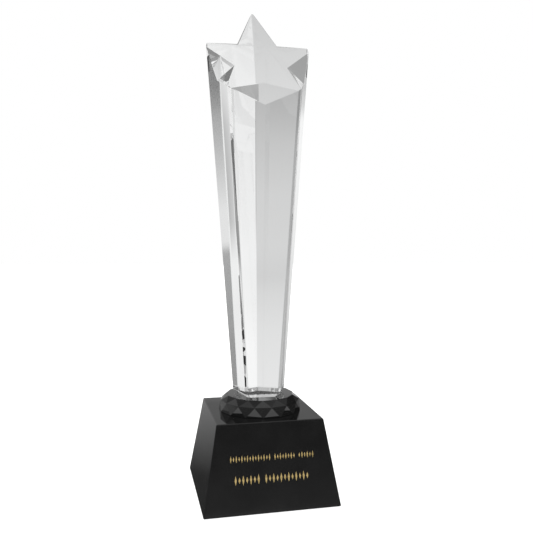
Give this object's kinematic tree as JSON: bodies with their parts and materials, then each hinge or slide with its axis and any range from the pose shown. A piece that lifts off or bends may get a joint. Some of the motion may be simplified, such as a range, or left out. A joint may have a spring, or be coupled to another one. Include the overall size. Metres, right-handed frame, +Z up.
{
  "type": "crystal award",
  "caption": "Clear tapered crystal tower with a slanted star-shaped top, on a black faceted round collar and a black tapered square pedestal with gold ornament.",
  "frame": {"origin": "middle of the felt pad's underside, on the ground", "axes": "+Z up the tower; the ornamented front face of the pedestal faces -Y; +X is to the right seen from the front"},
  "size_m": [0.0798, 0.0798, 0.3094],
  "materials": {
    "clear_crystal": "polished",
    "clear_bond": "glossy",
    "black_crystal_collar": "polished",
    "black_bond": "glossy",
    "black_crystal_pedestal": "polished",
    "gold_fill_upper": "satin",
    "gold_fill_lower": "satin",
    "pad_film": "satin",
    "black_felt": "matte"
  },
  "bodies": {
    "root": {"star_tower": "clear_crystal", "tower_adhesive": "clear_bond", "faceted_collar": "black_crystal_collar", "collar_adhesive": "black_bond", "pedestal_base": "black_crystal_pedestal", "engraving_fill_upper": "gold_fill_upper", "engraving_fill_lower": "gold_fill_lower", "pad_adhesive": "pad_film", "felt_pad": "black_felt"}
  },
  "joints": []
}
